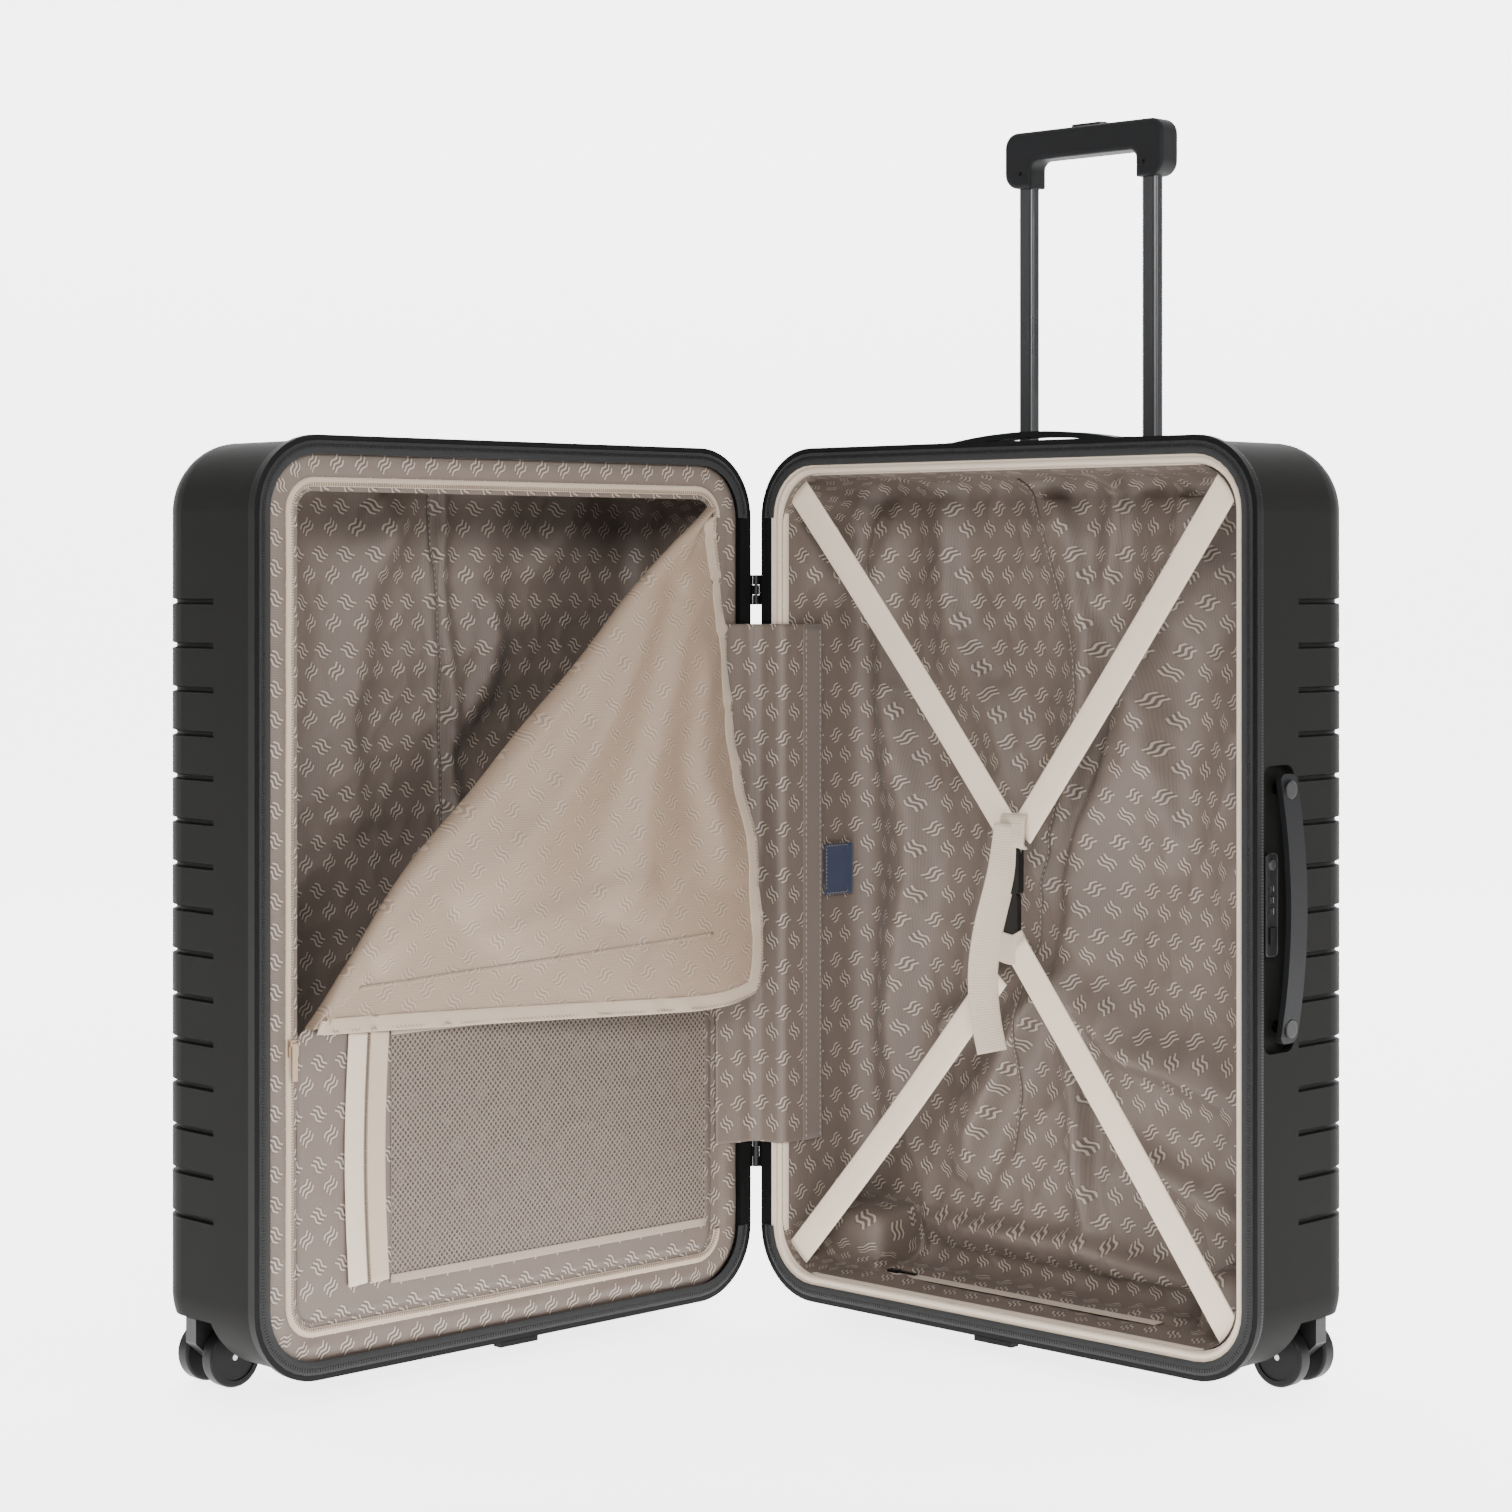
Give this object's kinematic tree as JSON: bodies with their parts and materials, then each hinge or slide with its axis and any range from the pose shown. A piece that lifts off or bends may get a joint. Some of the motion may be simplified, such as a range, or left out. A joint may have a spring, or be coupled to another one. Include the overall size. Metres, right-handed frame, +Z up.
{
  "type": "hard shell spinner suitcase",
  "caption": "Hard shell suitcase on four twin-wheel casters, standing open like a book, with lined halves, cross straps, divider and drawn out pull handle.",
  "frame": {"origin": "on the floor under the middle of the whole standing, open suitcase", "axes": "+Z up, +X across to the side of the half with the pull handle, -Y out of the open mouths, +Y to the hinge's back"},
  "size_m": [0.9336, 0.4527, 1.0345],
  "materials": {
    "shell": "matte charcoal, fine texture",
    "rim": "satin black",
    "housing": "matte charcoal",
    "zip_black": "woven tape",
    "lining": "woven jacquard",
    "beige": "woven twill",
    "cream": "woven webbing",
    "tan_tape": "woven zip tape",
    "mesh": "fine mesh",
    "black_plastic": "semi gloss",
    "handle": "soft touch",
    "steel": "brushed",
    "dark_metal": "dark anodised",
    "wheel": "satin",
    "slider_metal": "painted tan",
    "navy": "woven label"
  },
  "bodies": {
    "base": {"base_shell": "shell", "base_rim": "rim", "expander_band": "rim", "base_zip": "zip_black", "base_piping": "cream", "base_lining": "lining", "base_wheel_housings": "housing", "base_tab": "rim", "base_hinge_leaves": "dark_metal", "hinge_pins": "steel", "hinge_cover_base": "lining", "handle_cup": "black_plastic", "outer_tubes": "dark_metal", "lock_housing": "black_plastic", "cross_straps": "cream", "buckle_body": "black_plastic", "buckle_clip": "black_plastic", "label": "navy", "lining_zip": "tan_tape"},
    "lid": {"lid_shell": "shell", "lid_rim": "rim", "lid_zip": "zip_black", "lid_lining": "lining", "lid_wheel_housings": "housing", "lid_tab": "rim", "lid_hinge_leaves": "dark_metal", "hinge_cover_lid": "lining", "lid_border": "lining", "divider_panel": "lining", "divider_zip": "tan_tape", "divider_flap": "beige", "mesh_pocket": "mesh", "pocket_zip": "tan_tape"},
    "pull_handle": {"inner_tubes": "dark_metal", "grip": "handle"},
    "grip_button": {"grip_button": "black_plastic"},
    "side_handle": {"side_strap": "handle", "side_posts": "dark_metal"},
    "top_handle": {"top_strap": "handle", "top_posts": "dark_metal"},
    "lock_dial_1": {"lock_dial_1": "black_plastic"},
    "lock_dial_2": {"lock_dial_2": "black_plastic"},
    "lock_dial_3": {"lock_dial_3": "black_plastic"},
    "lock_latch": {"lock_latch": "black_plastic"},
    "lock_key_core": {"lock_key_core": "steel"},
    "lining_slider": {"lining_slider": "black_plastic"},
    "slider": {"slider": "slider_metal"},
    "slider_pull": {"slider_pull": "slider_metal"},
    "base_inner_swivel": {"base_inner_fork": "black_plastic"},
    "base_inner_wheels": {"base_inner_axle": "steel", "base_inner_wheels": "wheel"},
    "base_outer_swivel": {"base_outer_fork": "black_plastic"},
    "base_outer_wheels": {"base_outer_axle": "steel", "base_outer_wheels": "wheel"},
    "lid_inner_swivel": {"lid_inner_fork": "black_plastic"},
    "lid_inner_wheels": {"lid_inner_axle": "steel", "lid_inner_wheels": "wheel"},
    "lid_outer_swivel": {"lid_outer_fork": "black_plastic"},
    "lid_outer_wheels": {"lid_outer_axle": "steel", "lid_outer_wheels": "wheel"}
  },
  "joints": [
    {"name": "lid_hinge", "type": "hinge", "parent": "base", "child": "lid", "pos_m": [0, 0.14472, 0.39], "axis": [0, 0, 1], "range_deg": [-80, 92]},
    {"name": "pull_handle_slide", "type": "slide", "parent": "base", "child": "pull_handle", "axis": [0, 0, 1], "range_m": [-0.27, 0]},
    {"name": "grip_button_press", "type": "slide", "parent": "pull_handle", "child": "grip_button", "axis": [0, 0, -1], "range_m": [0, 0.0035], "stiffness_N_per_m": 400},
    {"name": "side_handle_lift", "type": "slide", "parent": "base", "child": "side_handle", "axis": [0.7193, -0.6947, 0], "range_m": [0, 0.004], "stiffness_N_per_m": 900},
    {"name": "top_handle_lift", "type": "slide", "parent": "base", "child": "top_handle", "axis": [0, 0, 1], "range_m": [0, 0.004], "stiffness_N_per_m": 900},
    {"name": "lock_dial_1_turn", "type": "hinge", "parent": "base", "child": "lock_dial_1", "pos_m": [0.39761, -0.2045, 0.389], "axis": [0, 0, 1], "continuous": true},
    {"name": "lock_dial_2_turn", "type": "hinge", "parent": "base", "child": "lock_dial_2", "pos_m": [0.39761, -0.2045, 0.398], "axis": [0, 0, 1], "continuous": true},
    {"name": "lock_dial_3_turn", "type": "hinge", "parent": "base", "child": "lock_dial_3", "pos_m": [0.39761, -0.2045, 0.407], "axis": [0, 0, 1], "continuous": true},
    {"name": "lock_latch_press", "type": "slide", "parent": "base", "child": "lock_latch", "axis": [-0.7193, 0.6947, 0], "range_m": [0, 0.0022], "stiffness_N_per_m": 300},
    {"name": "lock_key_turn", "type": "hinge", "parent": "base", "child": "lock_key_core", "pos_m": [0.40005, -0.20686, 0.425], "axis": [0.7193, -0.6947, 0], "range_deg": [0, 90]},
    {"name": "lining_slider_run", "type": "slide", "parent": "base", "child": "lining_slider", "axis": [0.7193, -0.6947, 0], "range_m": [0, 0.255]},
    {"name": "slider_run", "type": "slide", "parent": "lid", "child": "slider", "axis": [0, 0, 1], "range_m": [-0.17, 0]},
    {"name": "slider_pull_swing", "type": "hinge", "parent": "slider", "child": "slider_pull", "pos_m": [-0.35868, -0.1986, 0.2853], "axis": [-0.7193, -0.6947, 0], "range_deg": [0, 110]},
    {"name": "base_inner_swivel_turn", "type": "hinge", "parent": "base", "child": "base_inner_swivel", "pos_m": [0.10712, 0.2067, 0.062], "axis": [0, 0, 1], "continuous": true},
    {"name": "base_inner_wheels_roll", "type": "hinge", "parent": "base_inner_swivel", "child": "base_inner_wheels", "pos_m": [0.12151, 0.19281, 0.024], "axis": [0.6947, 0.7193, 0], "continuous": true},
    {"name": "base_outer_swivel_turn", "type": "hinge", "parent": "base", "child": "base_outer_swivel", "pos_m": [0.44665, -0.12118, 0.062], "axis": [0, 0, 1], "continuous": true},
    {"name": "base_outer_wheels_roll", "type": "hinge", "parent": "base_outer_swivel", "child": "base_outer_wheels", "pos_m": [0.43226, -0.10729, 0.024], "axis": [0.6947, 0.7193, 0], "continuous": true},
    {"name": "lid_inner_swivel_turn", "type": "hinge", "parent": "lid", "child": "lid_inner_swivel", "pos_m": [-0.10712, 0.2067, 0.062], "axis": [0, 0, 1], "continuous": true},
    {"name": "lid_inner_wheels_roll", "type": "hinge", "parent": "lid_inner_swivel", "child": "lid_inner_wheels", "pos_m": [-0.12151, 0.19281, 0.024], "axis": [-0.6947, 0.7193, 0], "continuous": true},
    {"name": "lid_outer_swivel_turn", "type": "hinge", "parent": "lid", "child": "lid_outer_swivel", "pos_m": [-0.44665, -0.12118, 0.062], "axis": [0, 0, 1], "continuous": true},
    {"name": "lid_outer_wheels_roll", "type": "hinge", "parent": "lid_outer_swivel", "child": "lid_outer_wheels", "pos_m": [-0.43226, -0.10729, 0.024], "axis": [-0.6947, 0.7193, 0], "continuous": true}
  ]
}
